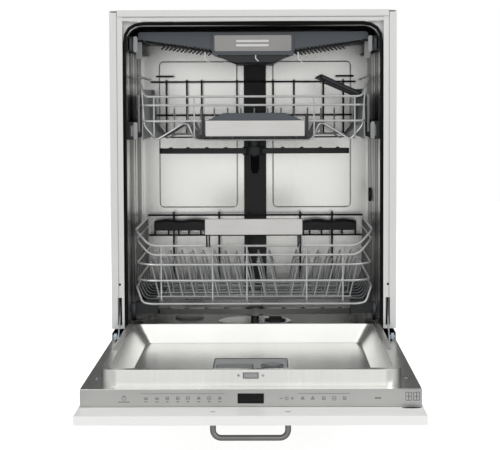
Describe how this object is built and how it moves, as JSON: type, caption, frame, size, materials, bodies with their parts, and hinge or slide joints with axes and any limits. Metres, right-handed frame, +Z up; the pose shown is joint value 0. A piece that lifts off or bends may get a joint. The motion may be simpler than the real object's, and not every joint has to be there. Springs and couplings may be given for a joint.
{
  "type": "built-in dishwasher",
  "caption": "Fully integrated dishwasher with drop-down door on a sliding furniture front, two wire baskets, cutlery tray, spray arms and pumps.",
  "frame": {"origin": "on the floor, midway between the sides, in the plane of the casing's front flanges", "axes": "+X to the right seen from the front, +Y to the back, +Z up"},
  "size_m": [0.598, 1.346, 0.8165],
  "materials": {
    "casing_paint": "satin light grey paint",
    "zinc_steel": "zinc-plated steel",
    "base_plastic": "moulded, dark grey",
    "iron": "raw casting",
    "tub_steel": "bright stainless",
    "seal_rubber": "black rubber",
    "dark_plastic": "moulded slate grey",
    "pump_plastic": "moulded light grey",
    "door_steel": "brushed stainless",
    "dark_glass": "glossy smoked window",
    "dispenser_plastic": "moulded grey",
    "furniture_white": "lacquered white board",
    "handle_steel": "brushed stainless",
    "tray_plastic": "moulded grey",
    "basket_wire": "nylon-coated wire",
    "tine_wire": "nylon-coated wire, grey"
  },
  "bodies": {
    "cabinet": {"side_panel_left": "casing_paint", "side_panel_right": "casing_paint", "back_panel": "zinc_steel", "front_rail": "casing_paint", "worktop_brackets": "zinc_steel", "base_pan": "base_plastic", "counterweight": "iron", "hinge_brackets": "zinc_steel", "tub_wrapper": "tub_steel", "tub_back": "tub_steel", "tub_floor": "tub_steel", "door_seal": "seal_rubber", "sump": "dark_plastic", "filter_plate": "tub_steel", "circulation_pump": "pump_plastic", "drain_pump": "pump_plastic", "inlet_valve": "pump_plastic", "power_inlet": "dark_plastic", "softener_tank": "pump_plastic", "feed_spine": "dark_plastic", "rack_guides": "dark_plastic"},
    "door": {"door_inner": "tub_steel", "door_outer": "door_steel", "control_fascia": "door_steel", "display_window": "dark_glass", "hinge_arms": "zinc_steel", "latch_housing": "dark_plastic", "dispenser_body": "dispenser_plastic"},
    "stays": {"door_stays": "zinc_steel"},
    "front": {"furniture_front": "furniture_white", "door_handle": "handle_steel", "handle_screws": "zinc_steel"},
    "latch": {"latch_bolt": "dark_plastic"},
    "flap": {"dispenser_flap": "dispenser_plastic"},
    "rinse": {"rinse_cap": "dispenser_plastic"},
    "tray": {"cutlery_tray": "tray_plastic", "tray_handle": "handle_steel"},
    "middle": {"middle_guides": "dark_plastic"},
    "carriage": {"carriage_runners": "dark_plastic"},
    "upper_rack": {"upper_basket": "basket_wire", "basket_side_plates": "tray_plastic", "upper_handle": "handle_steel", "feed_pipe": "dark_plastic"},
    "upper_arm": {"upper_spray_arm": "dark_plastic"},
    "shelf": {"cup_shelf": "dark_plastic"},
    "upper_row": {"upper_tines": "tine_wire"},
    "lower_rack": {"lower_basket": "basket_wire", "wheel_carriers": "tray_plastic", "lower_handle": "handle_steel"},
    "wheels_front": {"front_wheels": "tray_plastic"},
    "wheels_rear": {"rear_wheels": "tray_plastic"},
    "row_front": {"lower_tines_front": "tine_wire"},
    "row_rear": {"lower_tines_rear": "tine_wire"},
    "lower_arm": {"lower_spray_arm": "dark_plastic"},
    "strainer": {"micro_filter": "dark_plastic"},
    "salt": {"salt_cap": "pump_plastic"},
    "impeller": {"pump_impeller": "pump_plastic"},
    "foot_left": {"foot_front_left": "base_plastic"},
    "foot_right": {"foot_front_right": "base_plastic"},
    "foot_back": {"foot_rear": "base_plastic"}
  },
  "joints": [
    {"name": "door_hinge", "type": "hinge", "parent": "cabinet", "child": "door", "pos_m": [0, -0.003, 0.132], "axis": [1, 0, 0], "range_deg": [-90, 0]},
    {"name": "stay_pivot", "type": "hinge", "parent": "door", "child": "stays", "pos_m": [0, -0.065, 0.118], "axis": [1, 0, 0], "range_deg": [0, 67.5]},
    {"name": "front_slide", "type": "slide", "parent": "door", "child": "front", "axis": [0, -1, 0], "range_m": [-0.0872, 0]},
    {"name": "latch_slide", "type": "slide", "parent": "door", "child": "latch", "axis": [0, 1, 0], "range_m": [0, 0.004], "stiffness_N_per_m": 250},
    {"name": "flap_hinge", "type": "hinge", "parent": "door", "child": "flap", "pos_m": [-0.033, -0.366, 0.12805], "axis": [-1, 0, 0], "range_deg": [0, 100]},
    {"name": "rinse_turn", "type": "hinge", "parent": "door", "child": "rinse", "pos_m": [0.038, -0.38, 0.125], "axis": [0, 0, 1], "range_deg": [0, 90]},
    {"name": "tray_slide", "type": "slide", "parent": "cabinet", "child": "tray", "axis": [0, -1, 0], "range_m": [0, 0.4]},
    {"name": "middle_slide", "type": "slide", "parent": "cabinet", "child": "middle", "axis": [0, -1, 0], "range_m": [0, 0.21]},
    {"name": "upper_slide", "type": "slide", "parent": "cabinet", "child": "carriage", "axis": [0, -1, 0], "range_m": [0, 0.42]},
    {"name": "upper_height", "type": "slide", "parent": "carriage", "child": "upper_rack", "axis": [0, 0, 1], "range_m": [-0.05, 0]},
    {"name": "upper_arm_spin", "type": "hinge", "parent": "upper_rack", "child": "upper_arm", "pos_m": [0, 0.27, 0.515], "axis": [0, 0, 1], "continuous": true},
    {"name": "shelf_hinge", "type": "hinge", "parent": "upper_rack", "child": "shelf", "pos_m": [0.226, 0.2, 0.638], "axis": [0, 1, 0], "range_deg": [-24, 62]},
    {"name": "upper_row_fold", "type": "hinge", "parent": "upper_rack", "child": "upper_row", "pos_m": [0, 0.3, 0.5527], "axis": [-1, 0, 0], "range_deg": [0, 80]},
    {"name": "lower_slide", "type": "slide", "parent": "cabinet", "child": "lower_rack", "axis": [0, -1, 0], "range_m": [0, 0.5]},
    {"name": "front_wheel_roll", "type": "hinge", "parent": "lower_rack", "child": "wheels_front", "pos_m": [0, 0.075, 0.1808], "axis": [1, 0, 0], "continuous": true},
    {"name": "rear_wheel_roll", "type": "hinge", "parent": "lower_rack", "child": "wheels_rear", "pos_m": [0, 0.42, 0.1808], "axis": [1, 0, 0], "continuous": true},
    {"name": "front_row_fold", "type": "hinge", "parent": "lower_rack", "child": "row_front", "pos_m": [0, 0.084, 0.2075], "axis": [-1, 0, 0], "range_deg": [0, 80]},
    {"name": "rear_row_fold", "type": "hinge", "parent": "lower_rack", "child": "row_rear", "pos_m": [0, 0.3, 0.2075], "axis": [-1, 0, 0], "range_deg": [0, 80]},
    {"name": "lower_arm_spin", "type": "hinge", "parent": "cabinet", "child": "lower_arm", "pos_m": [0, 0.27, 0.154], "axis": [0, 0, 1], "continuous": true},
    {"name": "strainer_turn", "type": "hinge", "parent": "cabinet", "child": "strainer", "pos_m": [0.046, 0.27, 0.13], "axis": [0, 0, 1], "range_deg": [0, 90]},
    {"name": "salt_turn", "type": "hinge", "parent": "cabinet", "child": "salt", "pos_m": [-0.15, 0.34, 0.13], "axis": [0, 0, 1], "range_deg": [0, 330]},
    {"name": "impeller_spin", "type": "hinge", "parent": "cabinet", "child": "impeller", "pos_m": [0.04, 0.145, 0.0753], "axis": [1, 0, 0], "continuous": true},
    {"name": "foot_left_screw", "type": "hinge", "parent": "cabinet", "child": "foot_left", "pos_m": [-0.262, 0.09, 0.05], "axis": [0, 0, 1], "continuous": true},
    {"name": "foot_right_screw", "type": "hinge", "parent": "cabinet", "child": "foot_right", "pos_m": [0.262, 0.09, 0.05], "axis": [0, 0, 1], "continuous": true},
    {"name": "foot_rear_screw", "type": "hinge", "parent": "cabinet", "child": "foot_back", "pos_m": [0, 0.505, 0.05], "axis": [0, 0, 1], "continuous": true}
  ],
  "couplings": [
    {"joint": "stay_pivot", "follows": "door_hinge", "ratio": -0.74444},
    {"joint": "front_slide", "follows": "door_hinge", "m_per_rad": 0.055386},
    {"joint": "middle_slide", "follows": "upper_slide", "ratio": 0.5},
    {"joint": "front_wheel_roll", "follows": "lower_slide", "rad_per_m": 55.556},
    {"joint": "rear_wheel_roll", "follows": "lower_slide", "rad_per_m": 55.556}
  ]
}
